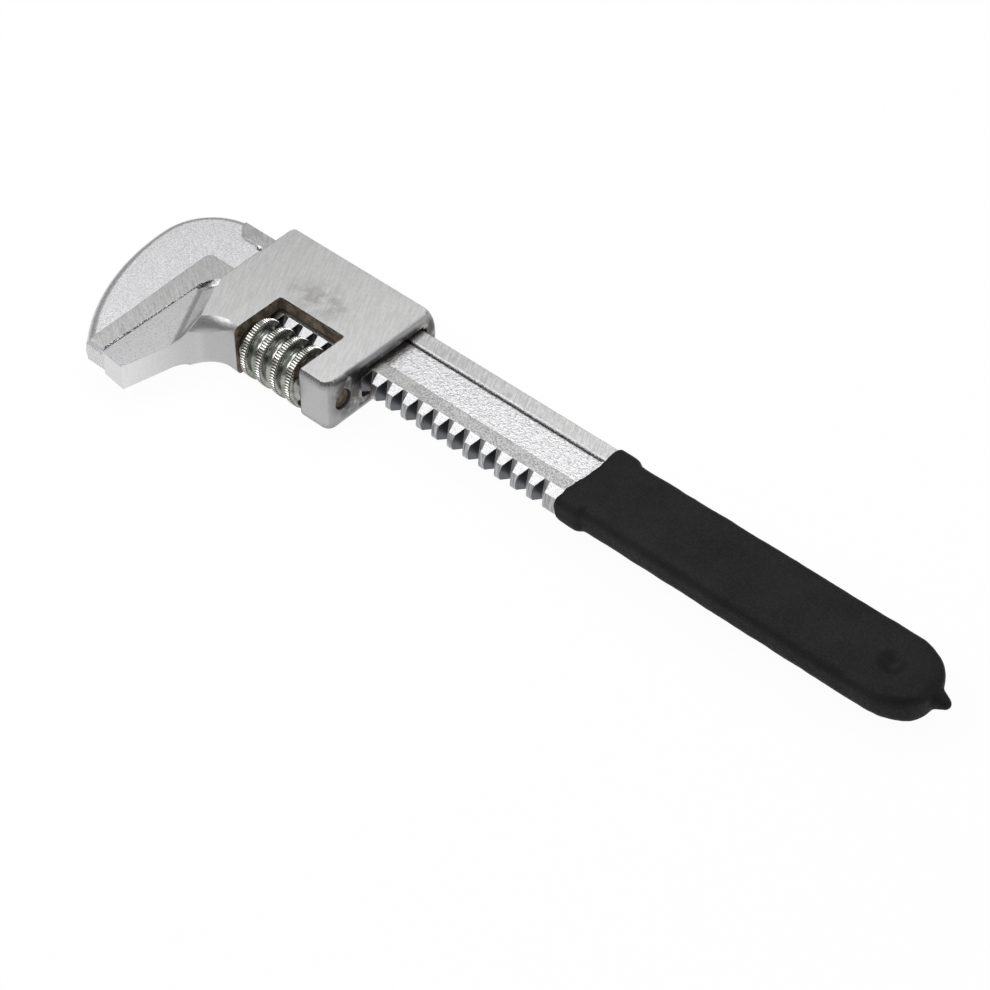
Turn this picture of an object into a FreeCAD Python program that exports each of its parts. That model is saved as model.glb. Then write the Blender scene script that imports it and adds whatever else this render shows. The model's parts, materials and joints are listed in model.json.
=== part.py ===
import FreeCAD, Part

import math
import os

from FreeCAD import Vector

# Adjustable wrench of the motor (auto) pattern: a flat bar with a fixed hook jaw forged on its head,
# a jaw on a box sleeve that slides on the bar, and a knurled worm on a pin that drives it along a rack.
#
# Everything is drawn in the wrench's own frame, in millimetres: x runs along the bar from the gripping
# face of the fixed jaw (x = 0) towards the handle, y runs across the bar from its centre line towards
# its plain back (the rack edge is on the -y side), and z is zero in the middle of its thickness.
# The last step moves all pieces so that z = 0 is the lowest face and x = y = 0 is the middle of the
# outline seen from above.

# ---- driving dimensions ----
BAR_BACK = 13.75            # back of the bar from its centre line
RACK_CREST = -13.9          # y of the rack's crest
BAR_HALF = 4.45             # half thickness over the ground lands
WEB_HALF = 3.25             # half thickness between the sunk panels
PANEL_DRAFT = 0.55          # how far a panel's sloping wall runs on the rack side
BACK_STEP = (0.65, 0.4, 0.2)  # on the back side: a chamfer's run and drop, then the run of a steep wall
BACK_LAND = (6.9, 11.95)    # y of the back land's two edges
RACK_LAND = (-10.1, -5.45)  # y of the rack land's two edges
SHOULDER = (-13.3, 3.0)     # y and half thickness where the sloping shoulder meets the rounded crest

CHEEK_RADIUS = 72.0         # outline of the head, from the fixed jaw's tip to its foremost point
CROWN_RADIUS = 20.0         # outline of the head, from there to the back of the bar
CROWN_RISE = 0.6            # how far the head stands out past the back of the bar
HEAD_FRONT = -28.75         # x of the foremost point
RIM_RADIUS = 3.1            # rounding of the head's rim
JAW_TIP = -56.7             # y of the fixed jaw's tip
STRIP_ROOT = -8.2           # x of the ground strip's inner edge, at its root and at its tip
STRIP_TIP = -6.6
THROAT_RADIUS = 5.0         # fillet between the fixed jaw's face and the rack's crest
LAND_THROAT = 7.0           # the same where the ground strip runs into the rack land
TIP_BEVEL = 1.5             # bevel of the two end edges of the fixed jaw
FACE_BEVEL = (1.05, 0.3)    # bevel of the gripping face's edges, at its tip and at its root

RACK_PITCH = 6.0
RACK_GAPS = 19
LAST_GAP = 130.3            # x of the gap nearest to the handle
GAP_FLOOR = 0.9             # half width of a gap's floor
GAP_FLANK = 16.5            # slope of its flanks, degrees

SLEEVE = (6.5, 62.95)       # x of the sleeve's two ends
SLEEVE_HALF = 9.2           # half thickness over its ground faces
SLEEVE_BACK = (15.8, 18.6)  # y of its back at the ground faces and in the middle of its thickness
SLEEVE_FRONT = -27.9        # y of its front
FORGED_HALF = 10.4          # half thickness of the forging before its faces are ground
FORGED_RADIUS = 3.7         # rounding of the forging's front edges
NECK_RADIUS = 7.0           # the same at the neck between the finger and the window
NECK = (22.57, -37.04, 7.8)  # x and y of the centre of the neck's rounding, and its radius
BACK_CORNERS = (1.4, 2.2)   # rounding of the back's corners at the sleeve's two ends
TAIL_BEVEL = 0.7            # bevel between the sleeve's tail end and its ground faces
SLIDE_GAP = 0.2             # play between the bar and the sleeve, each side
SLOT_CORNER = 1.5           # rounding of the slot's four corners
MOUTH_HALF = 5.6            # half thickness of the slot's flared mouth at the tail end
MOUTH_DEPTH = 5.0           # how far the flare runs in
MOUTH_SIDES = (-11.0, 12.4)  # y of the flare's two sides
WINDOW = (25.5, 51.75)      # x of the worm window's two walls
WINDOW_BACK = -8.8          # y of its back wall
FINGER_HALF = 4.4           # half thickness of the sliding jaw's finger
FACE_GAP = 0.02             # between the two gripping faces when the jaws are closed

WORM_Y = -21.5              # y of the worm's axis
WORM_RADIUS = 9.1
WORM_PLAY = 0.3             # between the worm's ends and the window's walls
HUB = (6.0, 2.7)            # radius and length of the plain hub at the worm's jaw end
GROOVE_TOP = 2.05           # half width of the thread groove at the crest
GROOVE_MID = 1.65           # half width where its rounded bottom starts
GROOVE_MID_DEPTH = 1.35
GROOVE_DEPTH = 2.9
THREAD_SHIFT = -0.4         # how far the threads stand from the middle of the rack gaps
PIN_RADIUS = 3.2
PIN = (17.8, 61.9)          # x of the pin's two ends
PIN_PLAY = 0.05             # between the pin and its two seats
BORE_PLAY = 0.08            # between the pin and the worm's bore

SHANK_START = 143.0         # x where the rack section ends and the plain handle shank starts
SHANK_HALF = (12.1, 3.8)    # half width and half thickness of the shank
SHANK_Y = -0.65             # y of the shank's middle
SHANK_END = 242.8           # x of the centre of its round end
HANG_HOLE_RADIUS = 4.2
COAT = 1.05                 # thickness of the dipped coating on the shank
COLLAR_COAT = 0.7           # thickness of the coating where it covers the rack section
GRIP_START = 136.0          # x of the coating's front edge
NIPPLE = (1.8, 4.8)         # radius and length of the drip left at the grip's end

# ---- worked out from them ----
LEAD_ANGLE = math.atan(RACK_PITCH / (2.0 * math.pi * (WORM_RADIUS - GROOVE_DEPTH / 2.0)))
FAR = 300.0                 # longer than anything that is cut


def plan(x, y, z=0.0):
    return Vector(x, y, z)


def section(y, z, x=0.0):
    return Vector(x, y, z)


def outline(place, start, steps):
    """A closed face. A step is a point for a line, or (point through, end point) for an arc."""
    edges = []
    here = start
    for step in steps:
        if isinstance(step[0], tuple):
            through, there = step
            edges.append(Part.Arc(place(*here), place(*through), place(*there)).toShape())
        else:
            there = step
            edges.append(Part.makeLine(place(*here), place(*there)))
        here = there
    if here != start:
        edges.append(Part.makeLine(place(*here), place(*start)))
    return Part.Face(Part.Wire(edges))


def mirrored(points):
    return [(y, -z) for y, z in reversed(points)]


def prism(face, low, high, axis):
    face = face.copy()
    face.translate(axis * low)
    return face.extrude(axis * (high - low))


def slab(face, half):
    return prism(face, -half, half, Vector(0, 0, 1))


def run(face, start, end):
    return prism(face, start, end, Vector(1, 0, 0))


def box(x, y, z):
    size = [high - low for low, high in (x, y, z)]
    return Part.makeBox(*size, Vector(x[0], y[0], z[0]))


def rod(radius, start, end, y, z=0.0):
    return Part.makeCylinder(radius, end - start, Vector(start, y, z), Vector(1, 0, 0))


def both_faces(shape):
    """A shape on the upper face and its mirror image on the lower face."""
    return [shape, shape.mirror(Vector(0, 0, 0), Vector(0, 0, 1))]


def on_circle(centre, radius, degrees):
    angle = math.radians(degrees)
    return (centre[0] + radius * math.cos(angle), centre[1] + radius * math.sin(angle))


def edges_where(shape, test):
    return [edge for edge in shape.Edges if test(edge.BoundBox)]


# ---- the bar and its fixed jaw: one forging ----

def bar_section(grow=0.0, panels=True):
    """Section of the bar: rounded back, ground lands, sunk panels and a rounded rack crest."""
    land = BAR_HALF + grow
    upper = [(BACK_LAND[1] + grow, land)]
    if panels:
        chamfer, drop, wall = BACK_STEP
        upper += [
            (BACK_LAND[0], land),
            (BACK_LAND[0] - chamfer, land - drop),
            (BACK_LAND[0] - chamfer - wall, WEB_HALF),
            (RACK_LAND[1] + PANEL_DRAFT, WEB_HALF),
            (RACK_LAND[1], land),
        ]
    upper += [(RACK_LAND[0] - grow / 2.0, land), (SHOULDER[0] - grow / 2.0, SHOULDER[1] + grow)]
    lower = mirrored(upper)
    crest = ((RACK_CREST - grow, 0.0), lower[0])
    back = ((BAR_BACK + grow, 0.0), upper[0])
    return outline(section, upper[0], upper[1:] + [crest] + lower[1:] + [back])


def head_plate():
    """The hook of the head at web thickness, with a rounded rim."""
    crown = (HEAD_FRONT + CROWN_RADIUS, BAR_BACK + CROWN_RISE - CROWN_RADIUS)
    cheek = (HEAD_FRONT + CHEEK_RADIUS, crown[1])
    tip_angle = 180.0 + math.degrees(math.asin((cheek[1] - JAW_TIP) / CHEEK_RADIUS))
    tip = on_circle(cheek, CHEEK_RADIUS, tip_angle)
    middle = on_circle(cheek, CHEEK_RADIUS, (180.0 + tip_angle) / 2.0)
    throat = (THROAT_RADIUS, RACK_CREST - THROAT_RADIUS)
    inside = 12.0
    reach = inside - crown[0]
    fall = (reach - math.sqrt(reach ** 2 - 2.0 * CROWN_RADIUS * CROWN_RISE)) / CROWN_RADIUS
    leaving = on_circle(crown, CROWN_RADIUS, math.degrees(math.acos(fall)))
    face = outline(plan, (0.0, JAW_TIP), [
        tip,
        (middle, (HEAD_FRONT, crown[1])),
        (on_circle(crown, CROWN_RADIUS, 135.0), leaving),
        (inside, BAR_BACK),
        (inside, RACK_CREST),
        (THROAT_RADIUS, RACK_CREST),
        (on_circle(throat, THROAT_RADIUS, 135.0), (0.0, throat[1])),
    ])
    plate = slab(face, WEB_HALF)
    rim = edges_where(plate, lambda b: b.ZLength < 0.01 and b.YLength > 0.01 and b.XMin < tip[0] - 0.1)
    back = edges_where(plate, lambda b: b.ZLength < 0.01 and b.YMin > 0 and b.XMax > 0)
    return plate.makeFillet(RIM_RADIUS, rim + back)


def face_block():
    """The ground strip behind the gripping face, standing above the sunk panel on both faces."""
    inside = 12.0

    def ring(spread, z, rack_side, radius):
        def level(x, y):
            return Vector(x, y, z)
        corner = 1.6
        throat = (radius, rack_side - radius)
        return outline(level, (0.0, JAW_TIP), [
            (STRIP_TIP - spread, JAW_TIP),
            (STRIP_ROOT - spread, RACK_LAND[1] - corner),
            (STRIP_ROOT + corner - spread, RACK_LAND[1] + spread),
            (inside, RACK_LAND[1] + spread),
            (inside, rack_side),
            (radius, rack_side),
            (on_circle(throat, radius, 135.0), (0.0, throat[1])),
        ]).OuterWire

    middle = ring(PANEL_DRAFT, 0.0, RACK_CREST, THROAT_RADIUS)
    web = ring(PANEL_DRAFT, WEB_HALF, RACK_CREST, THROAT_RADIUS)
    land = ring(0.0, BAR_HALF, RACK_LAND[0], LAND_THROAT)
    upper = Part.makeLoft([middle, web], True, True)
    raised = Part.makeLoft([web, land], True, True)
    half = upper.fuse(raised)
    return half.fuse(both_faces(half)[1])


def face_bevels():
    """Wedges that take the edges off the gripping face, wide at the tip and narrow at the root."""
    def corner(size, y):
        return Part.makePolygon([
            Vector(1.0, y, BAR_HALF - size - 1.0),
            Vector(-size - 1.0, y, BAR_HALF + 1.0),
            Vector(1.0, y, BAR_HALF + 1.0),
            Vector(1.0, y, BAR_HALF - size - 1.0),
        ])
    root = RACK_CREST - THROAT_RADIUS / 2.0
    wedge = Part.makeLoft([corner(FACE_BEVEL[0], JAW_TIP - 1.0), corner(FACE_BEVEL[1], root)], True, True)
    return both_faces(wedge)


def tip_bevels():
    face = outline(section, (JAW_TIP - 1.0, BAR_HALF + 1.0), [
        (JAW_TIP - 1.0, BAR_HALF - TIP_BEVEL - 1.0),
        (JAW_TIP + TIP_BEVEL + 1.0, BAR_HALF + 1.0),
    ])
    return both_faces(run(face, -FAR, FAR))


def back_tongue():
    """The rounded front end of the back land, which runs out on the head."""
    face = outline(plan, (0.0, BACK_LAND[0]), [
        (-4.5, BACK_LAND[0]),
        ((-8.9, 8.6), (-10.3, BAR_BACK)),
        (0.0, BAR_BACK),
    ])
    return run(bar_section(), -15.0, 1.0).common(slab(face, BAR_HALF))


def rack_gaps():
    """Trapezoid gaps across the crest, leaning by the worm's lead so that its thread runs in them."""
    depth = RACK_LAND[0] - RACK_CREST + 1.0
    mouth = GAP_FLOOR + depth * math.tan(math.radians(GAP_FLANK))
    lean = Vector(math.tan(LEAD_ANGLE), 0.0, 1.0) * (2.0 * FORGED_HALF)
    gaps = []
    for i in range(RACK_GAPS):
        middle = LAST_GAP - i * RACK_PITCH
        face = outline(plan, (middle - GAP_FLOOR, RACK_LAND[0]), [
            (middle + GAP_FLOOR, RACK_LAND[0]),
            (middle + mouth, RACK_LAND[0] - depth),
            (middle - mouth, RACK_LAND[0] - depth),
        ])
        face.translate(lean * -0.5)
        gaps.append(face.extrude(lean))
    return gaps


def shank(grow=0.0):
    """The plain handle shank with its round end. Grown by the coating it is the grip's body."""
    width = SHANK_HALF[0] + grow
    half = SHANK_HALF[1] + grow
    start = SHANK_START - 6.0
    face = outline(plan, (start, SHANK_Y - width), [
        (SHANK_END, SHANK_Y - width),
        ((SHANK_END + width, SHANK_Y), (SHANK_END, SHANK_Y + width)),
        (start, SHANK_Y + width),
    ])
    body = slab(face, half)
    edges = edges_where(body, lambda b: b.ZLength < 0.01 and b.XMax > start + 1.0)
    return body.makeFillet(half - 1.3, edges)


def hang_hole(radius):
    return Part.makeCylinder(radius, FAR, Vector(SHANK_END, SHANK_Y, -FAR / 2.0))


def bar_and_fixed_jaw():
    bar = run(bar_section(), 0.0, SHANK_START)
    forging = bar.fuse([head_plate(), face_block(), back_tongue(), shank()])
    return forging.cut(face_bevels() + tip_bevels() + rack_gaps() + [hang_hole(HANG_HOLE_RADIUS)]).removeSplitter()


# ---- the sliding jaw with its sleeve: one forging ----

def jaw_outline():
    """Plan of the forging before the slot and window are cut."""
    back = SLEEVE_BACK[1] + 2.0
    corner = 3.3
    end = SLEEVE[1]
    return outline(plan, (FACE_GAP, -19.1), [
        (FACE_GAP, JAW_TIP),
        (8.9, JAW_TIP - 1.1),
        (13.75, -37.1),
        ((17.6, -30.9), (26.4, SLEEVE_FRONT)),
        (end - corner, SLEEVE_FRONT),
        ((end - corner * 0.293, SLEEVE_FRONT + corner * 0.293), (end, SLEEVE_FRONT + corner)),
        (end, back),
        (SLEEVE[0], back),
        (SLEEVE[0], -13.9),
        (8.0, -17.0),
        ((7.7, -18.6), (6.2, -19.1)),
    ])


def forged_body():
    body = slab(jaw_outline(), FORGED_HALF)
    front = edges_where(body, lambda b: b.ZLength < 0.01 and b.YMax < -20.0 and b.XMax > 14.0)
    return body.makeFillet(FORGED_RADIUS, front)


def neck_rounding():
    """A trumpet shape that takes a wide rounding off the neck's upper and lower edges."""
    x, y, ring = NECK

    def place(distance, z):
        return Vector(x + distance, y, z)

    level = FORGED_HALF - NECK_RADIUS
    middle = on_circle((ring + NECK_RADIUS, level), NECK_RADIUS, 135.0)
    half = outline(place, (0.0, level), [
        (ring, level),
        (middle, (ring + NECK_RADIUS, FORGED_HALF)),
        (ring + NECK_RADIUS, FORGED_HALF + 1.0),
        (0.0, FORGED_HALF + 1.0),
    ])
    return both_faces(half.revolve(Vector(x, y, 0.0), Vector(0, 0, 1), 360.0))


def tail_bevels():
    face = outline(lambda x, z: Vector(x, 0.0, z), (SLEEVE[1] + 1.0, SLEEVE_HALF + 1.0), [
        (SLEEVE[1] - TAIL_BEVEL - 1.0, SLEEVE_HALF + 1.0),
        (SLEEVE[1] + 1.0, SLEEVE_HALF - TAIL_BEVEL - 1.0),
    ])
    return both_faces(prism(face, -FAR, FAR, Vector(0, 1, 0)))


def ground_envelope():
    """Flat ground faces above and below, and a rounded back."""
    face = outline(section, (SLEEVE_BACK[0], SLEEVE_HALF), [
        (-FAR / 2.0, SLEEVE_HALF),
        (-FAR / 2.0, -SLEEVE_HALF),
        (SLEEVE_BACK[0], -SLEEVE_HALF),
    ])
    bulge = Part.Face(Part.Wire([
        Part.Arc(section(SLEEVE_BACK[0], -SLEEVE_HALF), section(SLEEVE_BACK[1], 0.0),
                 section(SLEEVE_BACK[0], SLEEVE_HALF)).toShape(),
        Part.makeLine(section(SLEEVE_BACK[0], SLEEVE_HALF), section(SLEEVE_BACK[0], -SLEEVE_HALF)),
    ]))
    return run(face, -10.0, FAR).fuse(run(bulge, -10.0, FAR))


def finger_relief():
    """What is left out above and below the finger: a ramp from the ground face down to the finger."""
    corner = Vector(6.1, -15.0, 0.0)
    along = Vector(0.463, -0.886, 0.0)
    outward = Vector(-0.886, -0.463, 0.0)
    foot = SLEEVE_HALF - FINGER_HALF

    def place(distance, z):
        return corner + outward * distance + Vector(0, 0, z)

    face = outline(place, (-2.0, SLEEVE_HALF + 2.0), [
        (foot - 1.2, FINGER_HALF + 1.2),
        ((foot + 0.35, FINGER_HALF + 0.3), (foot + 1.7, FINGER_HALF)),
        (60.0, FINGER_HALF),
        (60.0, SLEEVE_HALF + 2.0),
    ])
    face.translate(along * -30.0)
    return both_faces(face.extrude(along * 120.0))


def bar_slot():
    slot = box((-5.0, SLEEVE[1] + 5.0),
               (RACK_CREST - SLIDE_GAP, BAR_BACK + SLIDE_GAP),
               (-BAR_HALF - SLIDE_GAP, BAR_HALF + SLIDE_GAP))
    return slot.makeFillet(SLOT_CORNER, edges_where(slot, lambda b: b.XLength > 1.0))


def slot_mouth():
    """The flare of the slot's upper and lower walls at the tail end."""
    def opening(x, half):
        low, high = MOUTH_SIDES
        return outline(lambda y, z: Vector(x, y, z), (low, -half), [(high, -half), (high, half), (low, half)]).OuterWire
    end = SLEEVE[1] + 0.01
    return Part.makeLoft([opening(end - MOUTH_DEPTH, BAR_HALF), opening(end, MOUTH_HALF)], True, True)


def worm_window():
    window = box(WINDOW, (SLEEVE_FRONT - 5.0, WINDOW_BACK), (-FORGED_HALF, FORGED_HALF))
    return window.makeFillet(1.0, edges_where(window, lambda b: b.ZLength > 1.0 and b.YMin > WINDOW_BACK - 1))


def pin_mouth():
    """A shallow scoop in the end face that runs up from the pin hole."""
    radius = 2.4
    low = Vector(SLEEVE[1] + 0.8, WORM_Y, -1.0)
    high = Vector(SLEEVE[1] + radius + 0.1, WORM_Y + 3.0, 8.2)
    return Part.makeCylinder(radius, (high - low).Length, low, high - low)


def sliding_jaw():
    body = forged_body().common(ground_envelope())
    for end, radius in zip(SLEEVE, BACK_CORNERS):
        corner = edges_where(body, lambda b: b.XLength < 0.01 and abs(b.XMin - end) < 0.01 and b.YMin > 10.0)
        body = body.makeFillet(radius, corner)
    seats = rod(PIN_RADIUS + PIN_PLAY, PIN[0] - 0.2, SLEEVE[1] + 5.0, WORM_Y)
    edges = finger_relief() + neck_rounding() + tail_bevels()
    return body.cut(edges + [bar_slot(), slot_mouth(), worm_window(), seats, pin_mouth()]).removeSplitter()


# ---- the worm and its pin ----

def thread_groove():
    """The groove between the worm's threads, swept along its right-handed helix."""
    out = 1.0
    flare = GROOVE_TOP + out * (GROOVE_TOP - GROOVE_MID) / GROOVE_MID_DEPTH

    def place(along, depth):
        return Vector(WORM_RADIUS - depth, 0.0, along)

    profile = outline(place, (-flare, -out), [
        (flare, -out),
        (GROOVE_MID, GROOVE_MID_DEPTH),
        ((0.0, GROOVE_DEPTH), (-GROOVE_MID, GROOVE_MID_DEPTH)),
    ])
    length = WINDOW[1] - WINDOW[0] + 4.0 * RACK_PITCH
    helix = Part.makeLongHelix(RACK_PITCH, length, WORM_RADIUS)
    groove = Part.Wire(helix.Edges).makePipeShell([profile.OuterWire], True, True)
    groove.rotate(Vector(0, 0, 0), Vector(0, 1, 0), 90.0)
    # The helix now starts at the worm's lowest line, a quarter turn before the side that faces the
    # rack. There a thread has to stand in each rack gap, so a groove stands half a pitch past it.
    start = LAST_GAP + THREAD_SHIFT + RACK_PITCH / 4.0
    turns_back = math.ceil((start - WINDOW[0]) / RACK_PITCH) + 1
    groove.translate(Vector(start - turns_back * RACK_PITCH, WORM_Y, 0.0))
    return groove


def adjusting_worm():
    start = WINDOW[0] + WORM_PLAY
    end = WINDOW[1] - WORM_PLAY
    blank = rod(WORM_RADIUS, start, end, WORM_Y)
    bore = rod(PIN_RADIUS + BORE_PLAY, start - 1.0, end + 1.0, WORM_Y)
    radius, length = HUB
    ring = rod(WORM_RADIUS + 1.0, start - 1.0, start + length, WORM_Y)
    ring = ring.cut(rod(radius, start - 2.0, start + length + 1.0, WORM_Y))
    return blank.cut(thread_groove()).cut(ring).cut(bore)


def worm_pin():
    pin = rod(PIN_RADIUS, PIN[0], PIN[1], WORM_Y)
    return pin.makeChamfer(0.35, edges_where(pin, lambda b: b.XLength < 0.01))


# ---- the dipped grip ----

def handle_grip():
    collar_end = SHANK_START + 2.2
    collar = run(bar_section(COLLAR_COAT, panels=False), GRIP_START, collar_end)
    rim = edges_where(collar, lambda b: b.XLength < 0.01 and b.XMin > GRIP_START + 1.0)
    collar = collar.makeChamfer(0.6, rim)
    body = shank(COAT)
    drip_start = SHANK_END + SHANK_HALF[0] + COAT - 1.5
    drip = Part.makeCone(NIPPLE[0] * 1.7, NIPPLE[0], NIPPLE[1] - NIPPLE[0] + 1.5,
                         Vector(drip_start, SHANK_Y + 0.6, 0.0), Vector(1, 0, 0))
    tip = Part.makeSphere(NIPPLE[0], Vector(drip_start + NIPPLE[1] - NIPPLE[0] + 1.5, SHANK_Y + 0.6, 0.0))
    coat = collar.fuse([body, drip, tip])
    dimple_radius = 9.0
    reach = SHANK_HALF[1] + COAT + dimple_radius - 1.2
    dimple = Part.makeSphere(dimple_radius, Vector(SHANK_END, SHANK_Y, reach))
    steel = run(bar_section(), 0.0, SHANK_START).fuse(shank()).cut(hang_hole(HANG_HOLE_RADIUS))
    return coat.cut(both_faces(dimple) + [steel]).removeSplitter()


def build():
    return {
        "bar_and_fixed_jaw": bar_and_fixed_jaw(),
        "sliding_jaw": sliding_jaw(),
        "adjusting_worm": adjusting_worm(),
        "worm_pin": worm_pin(),
        "handle_grip": handle_grip(),
    }


def main():
    os.makedirs("parts", exist_ok=True)
    pieces = build()
    whole = Part.makeCompound(list(pieces.values())).optimalBoundingBox()
    to_frame = Vector(-whole.Center.x, -whole.Center.y, -whole.ZMin)
    print("moved by", to_frame, "size", whole.XLength, whole.YLength, whole.ZLength)
    for name, shape in pieces.items():
        shape.translate(to_frame)
        print(name, shape.isValid(), len(shape.Solids), "solids", round(shape.Volume), "mm3")
        shape.exportStep("parts/" + name + ".step")


main()
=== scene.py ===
import json
import math

import bpy
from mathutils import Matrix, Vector


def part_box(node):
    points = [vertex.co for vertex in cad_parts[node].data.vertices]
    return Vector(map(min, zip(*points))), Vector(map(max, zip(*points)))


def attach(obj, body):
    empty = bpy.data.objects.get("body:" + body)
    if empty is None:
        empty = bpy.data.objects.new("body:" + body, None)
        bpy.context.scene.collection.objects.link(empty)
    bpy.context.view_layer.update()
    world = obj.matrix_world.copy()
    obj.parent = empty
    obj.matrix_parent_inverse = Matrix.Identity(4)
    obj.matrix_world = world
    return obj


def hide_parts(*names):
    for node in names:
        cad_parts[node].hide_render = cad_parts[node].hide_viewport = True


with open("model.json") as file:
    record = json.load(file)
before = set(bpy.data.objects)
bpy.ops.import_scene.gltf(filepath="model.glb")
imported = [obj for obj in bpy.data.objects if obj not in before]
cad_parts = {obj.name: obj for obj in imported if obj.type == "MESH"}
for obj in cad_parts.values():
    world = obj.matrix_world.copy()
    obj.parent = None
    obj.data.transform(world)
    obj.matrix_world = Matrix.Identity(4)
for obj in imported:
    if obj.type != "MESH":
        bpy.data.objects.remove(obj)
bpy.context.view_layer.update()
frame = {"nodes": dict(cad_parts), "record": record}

MM = 0.001

# ---- places read from the frame ----
bar = frame["nodes"]["bar_and_fixed_jaw"]
jaw = frame["nodes"]["sliding_jaw"]
pin = frame["nodes"]["worm_pin"]
jaw_low, jaw_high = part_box("sliding_jaw")
worm_low, worm_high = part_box("adjusting_worm")
grip_low, grip_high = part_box("handle_grip")
MID_Z = (jaw_low.z + jaw_high.z) / 2.0
WORM_Y = (worm_low.y + worm_high.y) / 2.0
WORM_RADIUS = (worm_high.z - worm_low.z) / 2.0
RACK_PITCH = 2.0 * math.pi / frame["record"]["behaviour"]["couplings"][0]["ratio"]
SMUDGE = (jaw_low.x + 35.0 * MM, WORM_Y + 19.0 * MM, jaw_high.z)


# ---- small helpers ----
def deselect_everything():
    if bpy.context.object and bpy.context.object.mode == "EDIT":
        bpy.ops.object.mode_set(mode="OBJECT")
    bpy.ops.object.select_all(action="DESELECT")


def name_it(name):
    piece = bpy.context.object
    piece.name = name
    piece.data.name = name
    return piece


def select_vertices(piece, test):
    """Selects the vertices that pass the test, and leaves the piece in edit mode."""
    bpy.ops.object.mode_set(mode="EDIT")
    bpy.ops.mesh.select_mode(type="VERT")
    bpy.ops.mesh.select_all(action="DESELECT")
    bpy.ops.object.mode_set(mode="OBJECT")
    for vertex in piece.data.vertices:
        vertex.select = test(vertex.co)
    bpy.ops.object.mode_set(mode="EDIT")


def extrude(x=0.0, y=0.0, z=0.0):
    bpy.ops.mesh.extrude_region_move(TRANSFORM_OT_translate={"value": (x, y, z)})


def finish_modifiers(piece):
    for modifier in list(piece.modifiers):
        bpy.ops.object.modifier_apply(modifier=modifier.name)


# ---- materials ----
class Finish:
    """A material with its own node tree, built one node at a time."""

    def __init__(self, name):
        self.material = bpy.data.materials.new(name)
        self.material.use_nodes = True
        self.nodes = self.material.node_tree.nodes
        self.links = self.material.node_tree.links
        self.shader = self.nodes["Principled BSDF"]
        self.place = self.nodes.new("ShaderNodeTexCoord").outputs["Object"]

    def set(self, **values):
        for socket, value in values.items():
            self.shader.inputs[socket.replace("_", " ")].default_value = value

    def new(self, kind, inputs=(), **settings):
        node = self.nodes.new("ShaderNode" + kind)
        for key, value in settings.items():
            setattr(node, key, value)
        for socket, value in dict(inputs).items():
            if isinstance(value, bpy.types.NodeSocket):
                self.links.new(value, node.inputs[socket])
            else:
                node.inputs[socket].default_value = value
        return node

    def strokes(self, across, along, lean):
        """A pattern of strokes, so many to the metre across and along, leaning from the y axis."""
        inputs = {"Vector": self.place, "Rotation": (0.0, 0.0, lean),
                  "Scale": (1.0 / across, 1.0 / along, 1.0 / along)}
        vector = self.new("Mapping", inputs, vector_type="TEXTURE").outputs["Vector"]
        return self.noise(1.0, 3.0, 0.65, vector)

    def noise(self, scale, detail=2.0, roughness=0.5, vector=None, distortion=0.0):
        inputs = {"Vector": vector or self.place, "Scale": scale, "Detail": detail,
                  "Roughness": roughness, "Distortion": distortion}
        return self.new("TexNoise", inputs).outputs["Fac"]

    def fade(self, value, low, high, to_low=0.0, to_high=1.0):
        """The value mapped smoothly from low..high to to_low..to_high."""
        inputs = {"Value": value, "From Min": low, "From Max": high, "To Min": to_low, "To Max": to_high}
        return self.new("MapRange", inputs, interpolation_type="SMOOTHSTEP").outputs["Result"]

    def math(self, operation, first, second=0.0):
        return self.new("Math", {0: first, 1: second}, operation=operation).outputs["Value"]

    def times(self, first, *others):
        for other in others:
            first = self.math("MULTIPLY", first, other)
        return first

    def plus(self, first, second):
        return self.math("ADD", first, second)

    def minus(self, first, second):
        return self.math("SUBTRACT", first, second)

    def most(self, first, *others):
        """The largest of the values."""
        for other in others:
            first = self.math("MAXIMUM", first, other)
        return first

    def mix(self, factor, first, second):
        node = self.new("Mix", {"Factor": factor}, data_type="RGBA")
        for socket, value in ((6, first), (7, second)):
            if isinstance(value, bpy.types.NodeSocket):
                self.links.new(value, node.inputs[socket])
            else:
                node.inputs[socket].default_value = (*value, 1.0)
        return node.outputs[2]

    def coordinate(self, axis):
        split = self.new("SeparateXYZ", {"Vector": self.place})
        return split.outputs[axis]

    def away_from(self, axis, middle):
        """How far the surface is from a plane across an axis."""
        return self.math("ABSOLUTE", self.minus(self.coordinate(axis), middle))

    def facing(self, axis):
        """How squarely the surface faces along an axis, either way, from 0 to 1."""
        normals = self.nodes.new("ShaderNodeTexCoord").outputs["Normal"]
        split = self.new("SeparateXYZ", {"Vector": normals})
        return self.math("ABSOLUTE", split.outputs[axis])

    def distance_to(self, point, scale=(1.0, 1.0, 1.0)):
        start = tuple(-place * size for place, size in zip(point, scale))
        inputs = {"Vector": self.place, "Location": start, "Scale": scale}
        moved = self.new("Mapping", inputs).outputs["Vector"]
        return self.new("VectorMath", {0: moved}, operation="LENGTH").outputs["Value"]

    def bump(self, height, distance, strength=1.0, under=None):
        inputs = {"Height": height, "Distance": distance, "Strength": strength}
        if under:
            inputs["Normal"] = under
        return self.new("Bump", inputs).outputs["Normal"]

    def soft_edges(self, radius):
        """Normals that round sharp edges over, as plating and handling do."""
        return self.new("Bevel", {"Radius": radius}, samples=4).outputs["Normal"]

    def connect(self, **sources):
        for socket, source in sources.items():
            self.links.new(source, self.shader.inputs[socket.replace("_", " ")])
        return self.material


def grinding_lines(finish, lean):
    """Fine grinding lines, with a mottled skin between them."""
    fine = finish.strokes(2300.0, 150.0, lean)
    mottled = finish.noise(800.0, 2.0, 0.65)
    return finish.plus(finish.times(fine, 0.7), finish.times(mottled, 0.3))


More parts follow.
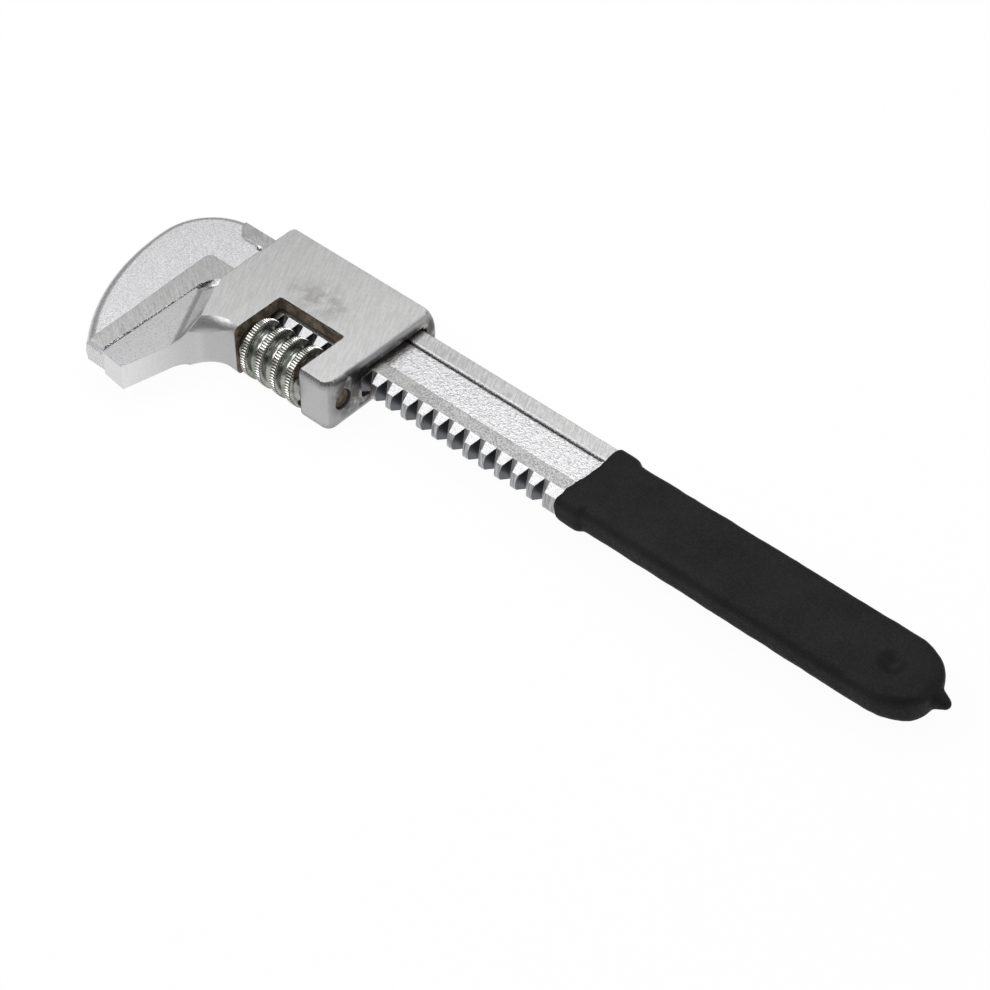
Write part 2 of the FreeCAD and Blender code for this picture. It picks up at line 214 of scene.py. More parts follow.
# Where each finish lies. Each pair is where it is still absent, then where it is full.
LEVEL = (0.9, 0.98)                             # how squarely a ground face looks up or down
LAND_HEIGHT = (4.34 * MM, 4.42 * MM)            # the bar's ground lands, from mid thickness
RACK_SIDE = (10.4 * MM, 9.2 * MM)               # y of the rack's teeth
RACK_START = (-112.0 * MM, -108.0 * MM)         # x where the rack starts, by the throat
RACK_LAND = (15.0 * MM, 14.0 * MM)              # y of the land beside the rack
STEP_FRONT = (24.0 * MM, 25.0 * MM)             # y of the step up to the back land
STEP_BACK = (27.0 * MM, 26.0 * MM)
STEP_HEIGHT = (4.3 * MM, 4.15 * MM)             # the foot of that step, where painted shade lies
HEAD = (-114.0 * MM, -115.0 * MM)               # x of the bar's hook head
LIP = (-117.2 * MM, -116.8 * MM)                # x of the gripping face's rough edge
LIP_HEIGHT = (2.9 * MM, 3.5 * MM)
LIP_SIDE = (8.0 * MM, 7.0 * MM)                 # y where that edge ends, at the throat
SLEEVE_HEIGHT = (8.9 * MM, 9.1 * MM)            # the jaw's ground faces, from mid thickness
FINGER_BACK = (-108.0 * MM, -100.0 * MM)        # x from the jaw's finger to its sleeve
NECK = (-107.0 * MM, -98.0 * MM)                # x of the neck between them
RAMP = (-103.0 * MM, -105.0 * MM)               # x of the ramp up to the ground face
SKIN_HEIGHT = (5.8 * MM, 8.9 * MM)              # the dark forging skin
SKIN_SIDE = (-3.0 * MM, -4.5 * MM)
LUG = (worm_high.x - 2.0 * MM, worm_high.x + 1.0 * MM)
TAIL = (jaw_high.x - 1.2 * MM, jaw_high.x - 0.6 * MM)
TAIL_SLOT_HEIGHT = (8.3 * MM, 6.4 * MM)         # the painted shade and dirt above the slot on the tail end
TAIL_SLOT_SIDE = (1.0 * MM, 5.0 * MM)
WINDOW_BACK = (11.2 * MM, 10.9 * MM)            # y of the window's back wall
SLOT_HEIGHT = (5.7 * MM, 5.5 * MM)              # the slot that the bar runs through
SLOT_FRONT = (jaw_low.x + 6.6 * MM, jaw_low.x + 7.4 * MM)
SLOT_BACK = (jaw_high.x - 0.02 * MM, jaw_high.x - 0.3 * MM)
SLOT_RACK_SIDE = (5.3 * MM, 5.6 * MM)
SLOT_FAR_SIDE = (33.9 * MM, 33.6 * MM)
BAR_LEAN = math.radians(28.0)                   # the grinding lines, leaning from the y axis
STRIP_LEAN = math.radians(56.0)


def plated_bar():
    """Bright plating: pebbled on the forged panels and rims, ground flat on the lands."""
    finish = Finish("plated_forging")
    finish.set(Metallic=1.0)
    height = finish.away_from("Z", MID_Z)
    x = finish.coordinate("X")
    y = finish.coordinate("Y")
    level = finish.times(finish.fade(height, *LAND_HEIGHT), finish.fade(finish.facing("Z"), *LEVEL))
    rack = finish.times(finish.fade(y, *RACK_SIDE), finish.fade(x, *RACK_START))
    smooth = finish.most(level, rack)
    head = finish.fade(x, *HEAD)
    lines = finish.mix(head, grinding_lines(finish, BAR_LEAN), grinding_lines(finish, STRIP_LEAN))
    pebbles = finish.noise(1150.0, 3.0, 0.6, distortion=0.6)
    grain = finish.noise(2600.0, 2.0, 0.6)
    worn = finish.noise(190.0, 3.0, 0.6)
    # the forged panels, the step's bevel, and the head
    forged_tone = finish.mix(finish.fade(pebbles, 0.34, 0.6), (0.38, 0.38, 0.39), (0.72, 0.72, 0.725))
    forged_tone = finish.mix(finish.fade(grain, 0.3, 0.7), forged_tone, (0.58, 0.58, 0.59))
    step = finish.times(finish.fade(y, *STEP_FRONT), finish.fade(y, *STEP_BACK))
    bevel = finish.times(step, finish.fade(finish.facing("Z"), 0.99, 0.95))
    forged_tone = finish.mix(bevel, forged_tone, (0.3, 0.3, 0.305))
    head_tone = finish.mix(finish.fade(grain, 0.3, 0.7), (0.5, 0.5, 0.51), (0.78, 0.78, 0.79))
    forged_tone = finish.mix(head, forged_tone, head_tone)
    # the lands, the one beside the rack worn darker
    ground_tone = finish.mix(finish.fade(lines, 0.34, 0.66), (0.35, 0.35, 0.35), (0.54, 0.54, 0.535))
    worn_land = finish.times(level, finish.fade(y, *RACK_LAND), finish.fade(x, *RACK_START),
                             finish.fade(worn, 0.25, 0.55, 0.25, 0.9))
    worn_tone = finish.mix(finish.fade(grain, 0.38, 0.62), (0.2, 0.2, 0.2), (0.46, 0.46, 0.455))
    ground_tone = finish.mix(worn_land, ground_tone, worn_tone)
    # the rack's teeth: bright shoulders, duller crests, and painted shade on the walls of the gaps
    teeth = finish.times(rack, finish.fade(finish.facing("Z"), 0.995, 0.99))
    crest_lines = finish.fade(finish.strokes(2300.0, 150.0, 0.0), 0.36, 0.6)
    crest_tone = finish.mix(crest_lines, (0.2, 0.2, 0.205), (0.5, 0.5, 0.51))
    shoulder_tone = finish.mix(finish.fade(grain, 0.36, 0.6), (0.36, 0.36, 0.365), (0.52, 0.52, 0.525))
    teeth_tone = finish.mix(finish.fade(finish.facing("Y"), 0.7, 0.95), shoulder_tone, crest_tone)
    # painted shade: the gap walls, which face along x, darkened almost to black
    teeth_tone = finish.mix(finish.fade(finish.facing("X"), 0.5, 0.8), teeth_tone, (0.13, 0.135, 0.145))
    ground_tone = finish.mix(teeth, ground_tone, teeth_tone)
    color = finish.mix(smooth, forged_tone, ground_tone)
    # black specks: painted shade broken into specks in the crease at the step's foot, and pitting along the
    # edge of the gripping face
    step_foot_shade = finish.times(finish.fade(finish.facing("Y"), 0.3, 0.6), finish.fade(height, *STEP_HEIGHT), step)
    lip = finish.times(finish.fade(finish.facing("X"), 0.35, 0.6), finish.fade(x, *LIP), head,
                       finish.fade(height, *LIP_HEIGHT), finish.fade(y, *LIP_SIDE))
    shade_and_pit_specks = finish.times(finish.most(step_foot_shade, lip), finish.fade(grain, 0.62, 0.46))
    color = finish.mix(shade_and_pit_specks, color, (0.04, 0.04, 0.04))
    rough = finish.plus(0.27, finish.times(pebbles, 0.16))
    skin = finish.mix(head, pebbles, finish.times(grain, 0.45))
    skin = finish.times(skin, finish.minus(1.0, smooth))
    normal = finish.bump(skin, 0.2 * MM, 0.85, finish.soft_edges(0.3 * MM))
    normal = finish.bump(finish.times(lines, level), 0.02 * MM, 0.6, normal)
    return finish.connect(Base_Color=color, Roughness=rough, Normal=normal)


def tail_shade_and_dirt(finish, height, y, tail):
    """Painted shade with patchy dirt on the jaw's tail end: around the pin, beside the rack and above the
    slot.
    """
    pin_end = (jaw_high.x, WORM_Y + 3.0 * MM, MID_Z + 1.5 * MM)
    rack_end = (jaw_high.x, 5.0 * MM, MID_Z)
    near_pin = finish.fade(finish.distance_to(pin_end, (0.0, 0.9, 0.7)), 8.5 * MM, 3.5 * MM)
    near_rack = finish.fade(finish.distance_to(rack_end, (0.0, 1.0, 0.6)), 5.5 * MM, 2.0 * MM)
    near_slot = finish.times(finish.fade(height, *TAIL_SLOT_HEIGHT), finish.fade(y, *TAIL_SLOT_SIDE))
    patches = finish.fade(finish.noise(330.0, 4.0, 0.65), 0.28, 0.56)
    return finish.times(finish.most(near_pin, near_rack, near_slot), patches, tail, 0.93)


def bare_steel(finish, height, x, y):
    """1 on the window's walls, and inside the slot that the bar runs through."""
    middle = (worm_low.x + worm_high.x) / 2.0
    reach = (worm_high.x - worm_low.x) / 2.0
    window = finish.times(finish.fade(finish.away_from("X", middle), reach + 0.6 * MM, reach + 0.4 * MM),
                          finish.fade(y, *WINDOW_BACK), finish.fade(finish.facing("Z"), 0.5, 0.2))
    slot = finish.times(finish.fade(height, *SLOT_HEIGHT), finish.fade(x, *SLOT_FRONT),
                        finish.fade(x, *SLOT_BACK), finish.fade(y, *SLOT_RACK_SIDE),
                        finish.fade(y, *SLOT_FAR_SIDE))
    return finish.most(window, slot)


def ground_jaw():
    """Ground faces, plated forged sides, and bare brown steel inside the window."""
    finish = Finish("ground_and_plated_steel")
    finish.set(Metallic=1.0)
    height = finish.away_from("Z", MID_Z)
    x = finish.coordinate("X")
    y = finish.coordinate("Y")
    ground = finish.times(finish.fade(height, *SLEEVE_HEIGHT), finish.fade(finish.facing("Z"), *LEVEL))
    lines = grinding_lines(finish, BAR_LEAN)
    pebbles = finish.noise(1300.0, 3.0, 0.62)
    speckles = finish.noise(2300.0, 3.0, 0.6)
    scale = finish.noise(3200.0, 2.0, 0.6)
    # the ground faces, with a smudge in the middle
    ground_tone = finish.mix(finish.fade(lines, 0.34, 0.66), (0.44, 0.44, 0.44), (0.54, 0.54, 0.535))
    smudge = finish.fade(finish.distance_to(SMUDGE, (0.8, 1.3, 1.0)), 13.0 * MM, 2.0 * MM, 0.0, 0.5)
    smudge = finish.times(smudge, finish.fade(finish.noise(260.0, 4.0, 0.6), 0.32, 0.6))
    ground_tone = finish.mix(smudge, ground_tone, (0.2, 0.19, 0.18))
    # the plating, with painted light and shade by facing: left bright on the finger's sides, painted darker
    # on faces turned up or down, on back faces, partly on faces along y, and all over the sleeve past the
    # neck
    forged_tone = finish.mix(finish.fade(pebbles, 0.3, 0.62), (0.82, 0.82, 0.83), (0.92, 0.92, 0.93))
    facing_back = finish.times(finish.facing("X"), finish.fade(x, *FINGER_BACK, 0.3, 1.0))
    # painted shade, set by which way each face turns
    plating_painted_shade = finish.most(finish.facing("Z"), facing_back, finish.times(finish.facing("Y"), 0.4),
                         finish.fade(x, *NECK))
    forged_tone = finish.mix(finish.times(plating_painted_shade, 0.6), forged_tone, (0.2, 0.2, 0.205))
    # painted highlight: the pitted ramp from the finger up to the ground face, painted almost white
    ramp_highlight = finish.times(finish.fade(finish.facing("X"), 0.25, 0.45),
                        finish.fade(finish.facing("Z"), 0.25, 0.45), finish.fade(x, *RAMP))
    forged_tone = finish.mix(ramp_highlight, forged_tone, (0.97, 0.97, 0.98))
    pits = finish.times(finish.fade(speckles, 0.42, 0.36), finish.fade(finish.facing("Z"), 0.3, 0.7), 0.7)
    forged_tone = finish.mix(pits, forged_tone, (0.2, 0.2, 0.2))
    # forging skin left dark below the ground faces, most of it on the lug past the window
    skin = finish.times(finish.fade(height, *SKIN_HEIGHT, 0.0, 0.85), finish.fade(y, *SKIN_SIDE),
                        finish.fade(x, *LUG, 0.35, 1.0), finish.fade(scale, 0.62, 0.42))
    forged_tone = finish.mix(skin, forged_tone, (0.09, 0.09, 0.09))
    # painted shade over the whole tail end
    tail = finish.times(finish.fade(x, *TAIL), finish.facing("X"))
    forged_tone = finish.mix(finish.times(tail, 0.35), forged_tone, (0.15, 0.15, 0.15))
    forged_tone = finish.mix(tail_shade_and_dirt(finish, height, y, tail), forged_tone, (0.07, 0.065, 0.06))
    color = finish.mix(ground, forged_tone, ground_tone)
    # pebbles in the plating, and grinding lines on the ground faces
    uneven = finish.fade(finish.facing("Z"), 0.2, 0.7, 0.15, 1.0)
    uneven = finish.times(uneven, finish.minus(1.0, ground))
    normal = finish.bump(finish.times(pebbles, uneven), 0.1 * MM, 0.6, finish.soft_edges(0.35 * MM))
    normal = finish.bump(finish.times(lines, ground), 0.02 * MM, 0.6, normal)
    # rusty where no plating reached
    bare = bare_steel(finish, height, x, y)
    rust = finish.fade(finish.noise(420.0, 4.0, 0.65), 0.3, 0.7)
    rust_tone = finish.mix(rust, (0.08, 0.062, 0.046), (0.34, 0.275, 0.21))
    color = finish.mix(bare, color, rust_tone)
    metal = finish.minus(1.0, finish.times(bare, 0.7))
    rough = finish.plus(finish.plus(0.3, finish.times(pebbles, 0.15)), finish.times(bare, 0.3))
    return finish.connect(Base_Color=color, Roughness=rough, Normal=normal, Metallic=metal)


def plated_worm():
    """Polished thread, with grime and painted shade darkening the grooves."""
    finish = Finish("turned_and_knurled_steel")
    finish.set(Metallic=1.0)
    radius = finish.distance_to((0.0, WORM_Y, MID_Z), (0.0, 1.0, 1.0))
    crest = finish.fade(radius, WORM_RADIUS - 0.5 * MM, WORM_RADIUS - 0.3 * MM)
    # bright worn tops on the knurl's teeth; below them, on the floors of the knurl's gaps, painted shade
    worn = finish.fade(radius, WORM_RADIUS - 0.24 * MM, WORM_RADIUS - 0.06 * MM)
    grime = finish.noise(300.0, 3.0, 0.6)
    groove_grime_and_shade = finish.mix(finish.fade(grime, 0.35, 0.65), (0.2, 0.21, 0.185), (0.4, 0.41, 0.38))
    crest_tone = finish.mix(worn, (0.14, 0.14, 0.13), (0.78, 0.77, 0.73))
    # painted shade between the knurl's teeth
    up = finish.minus(finish.coordinate("Z"), MID_Z)
    across = finish.minus(finish.coordinate("Y"), WORM_Y)
    row = finish.times(finish.math("ARCTAN2", up, across), float(TEETH_PER_TURN))
    knurl_gap_shade = finish.fade(finish.math("COSINE", finish.minus(row, math.pi / 4.0)), -0.2, 0.6)
    crest_tone = finish.mix(knurl_gap_shade, crest_tone, (0.13, 0.13, 0.12))
    color = finish.mix(crest, groove_grime_and_shade, crest_tone)
    rough = finish.plus(0.16, finish.times(grime, 0.14))
    return finish.connect(Base_Color=color, Roughness=rough)


def rusty_pin():
    finish = Finish("bare_pin_steel")
    finish.set(Metallic=0.5)
    rust = finish.noise(700.0, 4.0, 0.65)
    color = finish.mix(finish.fade(rust, 0.3, 0.7), (0.05, 0.035, 0.025), (0.21, 0.165, 0.125))
    normal = finish.bump(rust, 0.12 * MM, 0.8)
    rough = finish.plus(0.45, finish.times(rust, 0.25))
    return finish.connect(Base_Color=color, Roughness=rough, Normal=normal)


def dipped_vinyl():
    """Matte black coating with a fine pebbled skin."""
    finish = Finish("dipped_vinyl")
    finish.set(Specular_IOR_Level=0.18)
    pores = finish.noise(1900.0, 3.0, 0.6)
    patches = finish.noise(70.0, 3.0, 0.55)
    color = finish.mix(finish.fade(patches, 0.3, 0.7), (0.006, 0.006, 0.0062), (0.0115, 0.0115, 0.0118))
    rough = finish.fade(pores, 0.3, 0.7, 0.5, 0.75)
    normal = finish.bump(pores, 0.14 * MM, 0.9)
    return finish.connect(Base_Color=color, Roughness=rough, Normal=normal)


# ---- the worm ----
THREAD_AT_RACK = 13.9 * MM      # x of one thread's middle on the side that faces the rack
CREST_HALF = 0.95 * MM          # half width of a thread's crest
CREST_EDGE = 0.14 * MM          # its rounded corner
GROOVE_RADIUS = 1.65 * MM       # round bottom of the groove
GROOVE_MIDDLE = 1.25 * MM       # how deep the middle of that round lies
TEETH_PER_TURN = 64             # knurl teeth around the worm
HUB_RADIUS = 5.9 * MM           # plain hub at the end by the jaw
HUB_LENGTH = 2.7 * MM
HUB_OVERLAP = 1.0 * MM          # how far it runs on inside the thread
BORE_RADIUS = 3.28 * MM         # the pin runs through it
TOOTH_DEPTH = 0.28 * MM
WELD = 0.004 * MM               # points nearer than this become one


def thread_profile():
    """One groove and half a crest on each side of it, drawn above the worm's axis."""
    groove_z = WORM_RADIUS - GROOVE_MIDDLE
    bpy.ops.mesh.primitive_circle_add(vertices=28, radius=GROOVE_RADIUS, rotation=(math.pi / 2.0, 0.0, 0.0),
                                      location=(RACK_PITCH / 2.0, 0.0, groove_z))
    piece = name_it("knurled_worm")
    bpy.ops.object.transform_apply(location=True, rotation=True, scale=True)
    select_vertices(piece, lambda co: co.z > groove_z + 0.05 * MM)
    bpy.ops.mesh.delete(type="VERT")
    for side in (-1.0, 1.0):
        end_x = RACK_PITCH / 2.0 + side * GROOVE_RADIUS
        select_vertices(piece, lambda co: abs(co.x - end_x) < 0.01 * MM)
        corner_x = RACK_PITCH / 2.0 + side * (RACK_PITCH / 2.0 - CREST_HALF)
        extrude(x=corner_x - end_x, z=GROOVE_MIDDLE - CREST_EDGE)
        extrude(x=side * CREST_EDGE, z=CREST_EDGE)
        extrude(x=side * (CREST_HALF - CREST_EDGE))
    bpy.ops.object.mode_set(mode="OBJECT")
    return piece


def knurl(piece):
    """Pushes in two of every four rows of the crests' points, which leaves straight teeth between them."""
    step = math.pi / (2 * TEETH_PER_TURN)
    floor = WORM_RADIUS - CREST_EDGE * 1.2

    def in_gap(co):
        row = round(math.atan2(co.z, co.y) / step)
        return row % 4 < 2 and math.hypot(co.y, co.z) > floor
    select_vertices(piece, in_gap)
    shrink = 1.0 - TOOTH_DEPTH / WORM_RADIUS
    bpy.ops.transform.resize(value=(1.0, shrink, shrink), center_override=(0.0, 0.0, 0.0))
    bpy.ops.object.mode_set(mode="OBJECT")


def lengthwise_cylinder(radius, length, middle_x):
    bpy.ops.object.select_all(action="DESELECT")
    bpy.ops.mesh.primitive_cylinder_add(vertices=96, radius=radius, depth=length,
                                        location=(middle_x, 0.0, 0.0), rotation=(0.0, math.pi / 2.0, 0.0))
    bpy.ops.object.transform_apply(location=True, rotation=True, scale=True)
    return bpy.context.object


def select_all_points():
    bpy.ops.object.mode_set(mode="EDIT")
    bpy.ops.mesh.select_all(action="SELECT")


def add_hub_and_bore(piece):
    """Makes the thread and its hub one, and bores them through for the pin."""
    hub = lengthwise_cylinder(HUB_RADIUS, HUB_LENGTH + HUB_OVERLAP,
                              worm_low.x + HUB_LENGTH / 2.0 + HUB_OVERLAP / 2.0)
    select_vertices(hub, lambda co: co.x < worm_low.x + 0.1 * MM)
    bpy.ops.mesh.bevel(offset=0.3 * MM, segments=2)
    bpy.ops.object.mode_set(mode="OBJECT")
    drill = lengthwise_cylinder(BORE_RADIUS, worm_high.x - worm_low.x + 4.0 * MM,
                                (worm_low.x + worm_high.x) / 2.0)
    bpy.ops.object.select_all(action="DESELECT")
    piece.select_set(True)
    bpy.context.view_layer.objects.active = piece
    select_all_points()
    bpy.ops.mesh.normals_make_consistent(inside=False)
    bpy.ops.object.mode_set(mode="OBJECT")
    for tool, operation in ((hub, "UNION"), (drill, "DIFFERENCE")):
        cut = piece.modifiers.new(tool.name, "BOOLEAN")
        cut.operation = operation
        cut.solver = "EXACT"
        cut.object = tool
    finish_modifiers(piece)
    bpy.data.objects.remove(hub)
    bpy.data.objects.remove(drill)


def knurled_worm():
    deselect_everything()
    piece = thread_profile()
    # The profile stands a quarter turn past the side that faces the rack.
    first = THREAD_AT_RACK + RACK_PITCH / 4.0
    first -= math.ceil((first - worm_low.x) / RACK_PITCH + 1.0) * RACK_PITCH
    turns = math.ceil((worm_high.x - first) / RACK_PITCH) + 1
    select_all_points()
    bpy.ops.transform.translate(value=(first, 0.0, 0.0))
    bpy.ops.object.mode_set(mode="OBJECT")
    screw = piece.modifiers.new("thread", "SCREW")
    screw.axis = "X"
    screw.screw_offset = RACK_PITCH
    screw.iterations = turns
    screw.steps = 4 * TEETH_PER_TURN
    screw.render_steps = 4 * TEETH_PER_TURN
    screw.use_smooth_shade = True
    finish_modifiers(piece)
    select_all_points()
    bpy.ops.mesh.remove_doubles(threshold=WELD)
    knurl(piece)
    for end, outward in ((worm_low.x + HUB_LENGTH, -1.0), (worm_high.x, 1.0)):
        select_all_points()
        bpy.ops.mesh.bisect(plane_co=(end, 0.0, 0.0), plane_no=(outward, 0.0, 0.0), use_fill=True,
                            clear_outer=True, threshold=0.0001 * MM)
    bpy.ops.object.mode_set(mode="OBJECT")
    add_hub_and_bore(piece)
    select_all_points()
    bpy.ops.mesh.normals_make_consistent(inside=False)
    bpy.ops.transform.translate(value=(0.0, WORM_Y, MID_Z))
    bpy.ops.object.mode_set(mode="OBJECT")
    bpy.ops.object.shade_smooth_by_angle(angle=math.radians(38.0))
    piece.data.materials.append(plated_worm())
    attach(piece, "worm")
    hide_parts("adjusting_worm")


# ---- the grip ----
GRIP_Y = (grip_low.y + grip_high.y) / 2.0
GRIP_FRONT = grip_low.x + 1.9 * MM
GRIP_END = grip_high.x - 16.9 * MM      # x of the rounded end's middle
GRIP_WIDTH = 13.05 * MM                 # half widths and heights of the coated shank
GRIP_HEIGHT = 4.8 * MM
END_EDGE = 3.4 * MM                     # the rounded edge's radius around the end
DRIP_Y = GRIP_Y + 0.6 * MM
DIMPLE_DEPTH = 2.1 * MM
DIMPLE_REACH = 4.6 * MM
SKIN_DETAIL = 0.45 * MM                 # size of the small cubes the skin is made from
LUMP_SIZE = 9.0 * MM
LUMP_HEIGHT = 0.45 * MM
RAGGED_FRONT = 4.0 * MM


def station(piece, x, half_width, half_height, middle_y, last):
    """Extrudes the section that stands at x = last to x, with a new width, height and middle."""
    old_x, old_width, old_height, old_y = last
    extrude(x=x - old_x, y=middle_y - old_y)
    bpy.ops.transform.resize(value=(1.0, half_width / old_width, half_height / old_height),
                             center_override=(x, middle_y, MID_Z))
    return (x, half_width, half_height, middle_y)


def grip_body(name, start, sections):
    """A closed flat-oval bar through the sections, each x, half width, half height and middle y."""
    x, half_width, half_height, middle_y = start
    bpy.ops.mesh.primitive_cube_add(size=2.0, location=(x, middle_y, MID_Z),
                                    scale=(0.1 * MM, half_width, half_height))
    piece = name_it(name)
    bpy.ops.object.transform_apply(location=True, rotation=True, scale=True)
    bpy.ops.object.mode_set(mode="EDIT")
    bpy.ops.mesh.select_mode(type="EDGE")
    bpy.ops.mesh.select_all(action="DESELECT")
    bpy.ops.object.mode_set(mode="OBJECT")
    for edge in piece.data.edges:
        ends = [piece.data.vertices[i].co for i in edge.vertices]
        edge.select = abs(ends[0].x - ends[1].x) > 0.05 * MM
    bpy.ops.object.mode_set(mode="EDIT")
    bpy.ops.mesh.bevel(offset=half_height * 0.7, offset_type="OFFSET", segments=9, profile=0.5)
    front = x + 0.1 * MM
    select_vertices(piece, lambda co: co.x > front - 0.01 * MM)
    last = (front, half_width, half_height, middle_y)
    for each in sections:
        last = station(piece, *each, last)
    bpy.ops.object.mode_set(mode="OBJECT")
    return piece


def grip_sections():
    """The collar's rear, the shank, and the rounded end."""
    front = GRIP_FRONT
    sections = [
        (front + 5.0 * MM, 14.45 * MM, 5.1 * MM, 19.5 * MM),
        (front + 6.6 * MM, 14.3 * MM, 5.1 * MM, 19.4 * MM),
        (front + 8.2 * MM, 13.0 * MM, 4.95 * MM, GRIP_Y),
        (front + 10.0 * MM, 12.95 * MM, 4.85 * MM, GRIP_Y),
        (front + 26.0 * MM, 13.0 * MM, 4.85 * MM, GRIP_Y),
        (front + 45.0 * MM, GRIP_WIDTH, GRIP_HEIGHT, GRIP_Y),
        (front + 75.0 * MM, GRIP_WIDTH, GRIP_HEIGHT, GRIP_Y),
        (GRIP_END, GRIP_WIDTH, GRIP_HEIGHT, GRIP_Y),
    ]
    for degrees in (15, 30, 42, 53, 62, 70, 77):
        angle = math.radians(degrees)
        inset = GRIP_WIDTH * (1.0 - math.sin(angle)) * 0.9
        drop = 0.0 if inset > END_EDGE else END_EDGE - math.sqrt(END_EDGE ** 2 - (END_EDGE - inset) ** 2)
        taper = 1.0 - 0.045 * math.sin(2.0 * angle)
        sections.append((GRIP_END + GRIP_WIDTH * math.sin(angle) * 0.985,
                         GRIP_WIDTH * math.cos(angle) * taper,
                         GRIP_HEIGHT - drop,
                         GRIP_Y - 0.5 * MM * math.sin(angle)))
    return sections


def join_drip(piece):
    """Adds the drip left at the end, under one skin with the rest."""
    bpy.ops.object.select_all(action="DESELECT")
    bpy.ops.mesh.primitive_cone_add(vertices=40, radius1=4.6 * MM, radius2=1.75 * MM, depth=6.2 * MM,
                                    location=(GRIP_END + GRIP_WIDTH - 0.7 * MM, DRIP_Y, MID_Z),
                                    rotation=(0.0, math.pi / 2.0, 0.0))
    drip = bpy.context.object
    bpy.ops.object.transform_apply(location=True, rotation=True, scale=True)
    bpy.ops.object.select_all(action="DESELECT")
    bpy.ops.mesh.primitive_uv_sphere_add(segments=40, ring_count=24, radius=1.8 * MM,
                                         location=(grip_high.x - 1.85 * MM, DRIP_Y, MID_Z))
    tip = bpy.context.object
    bpy.ops.object.transform_apply(location=True, rotation=True, scale=True)
    bpy.ops.object.select_all(action="DESELECT")
    for part in (piece, drip, tip):
        part.select_set(True)
    bpy.context.view_layer.objects.active = piece
    bpy.ops.object.join()
    remesh = piece.modifiers.new("one_skin", "REMESH")
    remesh.mode = "VOXEL"
    remesh.voxel_size = SKIN_DETAIL
    smooth = piece.modifiers.new("sag", "SMOOTH")
    smooth.factor = 0.5
    smooth.iterations = 6
    finish_modifiers(piece)


def sag_into_hole(piece):
    """The dimples where the coating sags into the hanging hole."""
    hole = Vector((GRIP_END - 1.4 * MM, GRIP_Y - 0.5 * MM))
    for side in (-1.0, 1.0):
        def over_hole(co):
            return (co.xy - hole).length < 0.5 * MM and side * (co.z - MID_Z) > 2.0 * MM
        select_vertices(piece, over_hole)
        bpy.ops.transform.translate(value=(0.0, 0.0, -side * DIMPLE_DEPTH), use_proportional_edit=True,
                                    proportional_edit_falloff="SMOOTH", proportional_size=DIMPLE_REACH)
        bpy.ops.object.mode_set(mode="OBJECT")


def roughen(piece):
    """A ragged front edge, and slow lumps along the sides."""
    lumps = bpy.data.textures.new("lumps", "CLOUDS")
    lumps.noise_scale = LUMP_SIZE
    front_group = piece.vertex_groups.new(name="front")
    rows = [v.index for v in piece.data.vertices if v.co.x < GRIP_FRONT + 1.2 * MM]
    front_group.add(rows, 1.0, "REPLACE")
    ragged = piece.modifiers.new("ragged_front", "DISPLACE")
    ragged.texture = lumps
    ragged.direction = "X"
    ragged.mid_level = 0.5
    ragged.strength = RAGGED_FRONT
    ragged.vertex_group = front_group.name
    uneven = piece.modifiers.new("uneven_sides", "DISPLACE")
    uneven.texture = lumps
    uneven.mid_level = 0.5
    uneven.strength = LUMP_HEIGHT
    finish_modifiers(piece)


def dipped_grip():
    deselect_everything()
    collar = (GRIP_FRONT, 14.4 * MM, 5.05 * MM, 19.55 * MM)
    piece = grip_body("dipped_grip", collar, grip_sections())
    join_drip(piece)
    sag_into_hole(piece)
    roughen(piece)
    bpy.ops.object.shade_smooth()
    piece.data.materials.clear()
    piece.data.materials.append(dipped_vinyl())
    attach(piece, "bar")
    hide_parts("handle_grip")


# ---- the stage ----
def stage():
    deselect_everything()
    bpy.ops.mesh.primitive_plane_add(size=8.0, location=(0.0, 0.0, 0.0))
    floor = name_it("floor")
    material = bpy.data.materials.new("pale_floor")
    material.use_nodes = True
    nodes = material.node_tree.nodes
    links = material.node_tree.links
    shader = nodes["Principled BSDF"]
    shader.inputs["Base Color"].default_value = (0.93, 0.93, 0.93, 1.0)
    shader.inputs["Roughness"].default_value = 0.9
    glow = nodes.new("ShaderNodeEmission")
    mix = nodes.new("ShaderNodeMixShader")
    seen = seen_directly(nodes, links)
    part = nodes.new("ShaderNodeMath")
    part.operation = "MULTIPLY"
    part.inputs[1].default_value = 0.96
    links.new(seen, part.inputs[0])
    links.new(part.outputs[0], mix.inputs[0])
    links.new(shader.outputs[0], mix.inputs[1])
    links.new(glow.outputs[0], mix.inputs[2])
    links.new(mix.outputs[0], nodes["Material Output"].inputs["Surface"])
    floor.data.materials.append(material)


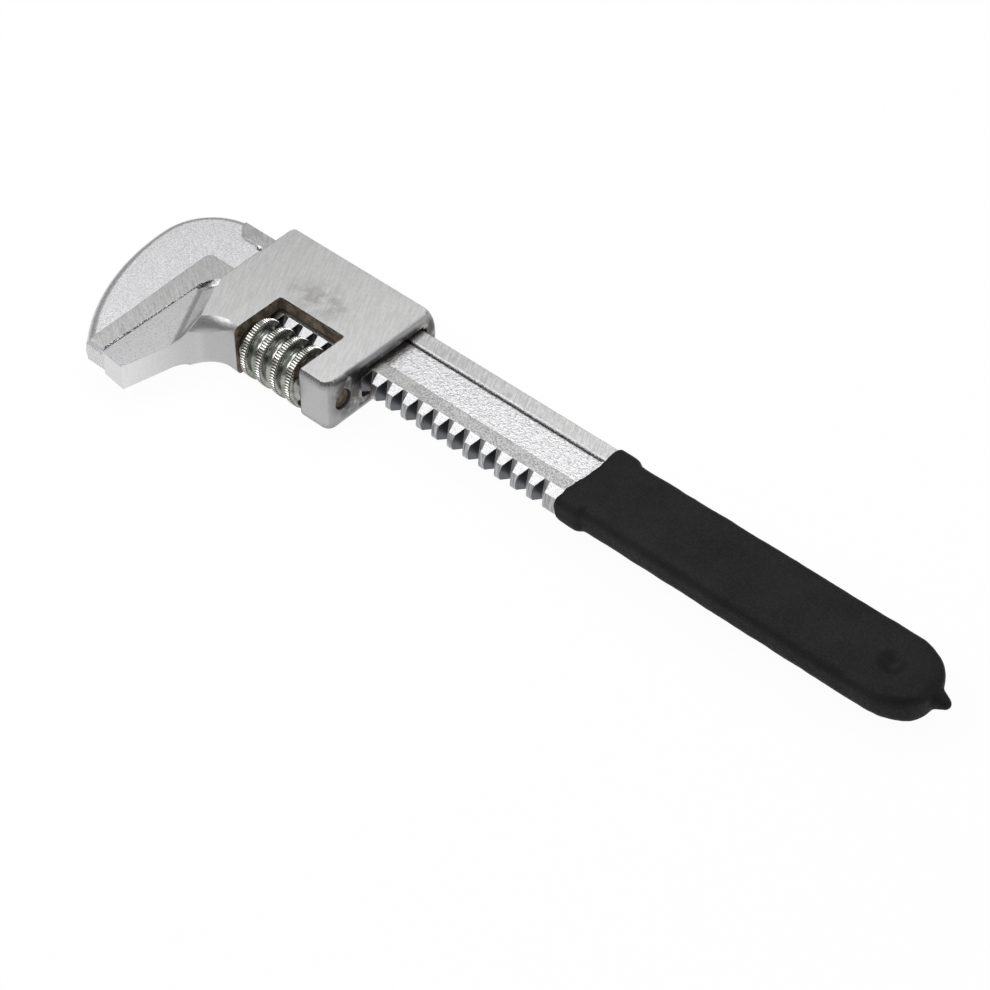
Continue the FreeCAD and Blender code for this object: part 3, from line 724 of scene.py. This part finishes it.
def seen_directly(nodes, links):
    """1 for camera, glossy and transmission rays, which see the plain background."""
    path = nodes.new("ShaderNodeLightPath")
    total = path.outputs["Is Camera Ray"]
    for ray in ("Is Glossy Ray", "Is Transmission Ray"):
        either = nodes.new("ShaderNodeMath")
        either.operation = "MAXIMUM"
        links.new(total, either.inputs[0])
        links.new(path.outputs[ray], either.inputs[1])
        total = either.outputs[0]
    return total


def soft_light(name, location, size, power, target=(0.0, 0.0, 0.0)):
    lamp = bpy.data.lights.new(name, "AREA")
    lamp.shape = "RECTANGLE"
    lamp.size, lamp.size_y = size
    lamp.energy = power
    placed = bpy.data.objects.new(name, lamp)
    bpy.context.scene.collection.objects.link(placed)
    placed.location = location
    placed.rotation_euler = (Vector(target) - Vector(location)).to_track_quat("-Z", "Y").to_euler()


def lights():
    world = bpy.data.worlds.new("studio")
    bpy.context.scene.world = world
    world.use_nodes = True
    background = world.node_tree.nodes["Background"]
    background.inputs["Color"].default_value = (1.0, 1.0, 1.0, 1.0)
    background.inputs["Strength"].default_value = 0.3
    soft_light("overhead", (-0.35, 0.35, 0.95), (0.9, 0.7), 4.8)
    soft_light("front", (-0.45, -0.5, 0.85), (0.7, 0.5), 4.5)
    soft_light("side", (0.85, 0.6, 0.58), (0.4, 0.6), 2.2)


def camera():
    """Looks from the open side of the jaws, past the handle's end, down at 45 degrees."""
    target = Vector((-0.23, 4.48, 1.29)) * MM
    azimuth = math.radians(42.0)
    elevation = math.radians(45.2)
    distance = 0.824
    back = Vector((math.sin(azimuth) * math.cos(elevation), -math.cos(azimuth) * math.cos(elevation),
                   math.sin(elevation)))
    lens = bpy.data.cameras.new("camera")
    lens.lens = 106.36
    lens.sensor_width = 36.0
    placed = bpy.data.objects.new("camera", lens)
    bpy.context.scene.collection.objects.link(placed)
    placed.location = target + back * distance
    placed.rotation_euler = back.to_track_quat("Z", "Y").to_euler()
    bpy.context.scene.camera = placed


def dress(node, material):
    node.data.materials.clear()
    node.data.materials.append(material)


dress(bar, plated_bar())
dress(jaw, ground_jaw())
dress(pin, rusty_pin())
knurled_worm()
dipped_grip()
stage()
lights()
camera()
bpy.context.scene.view_settings.view_transform = "Standard"
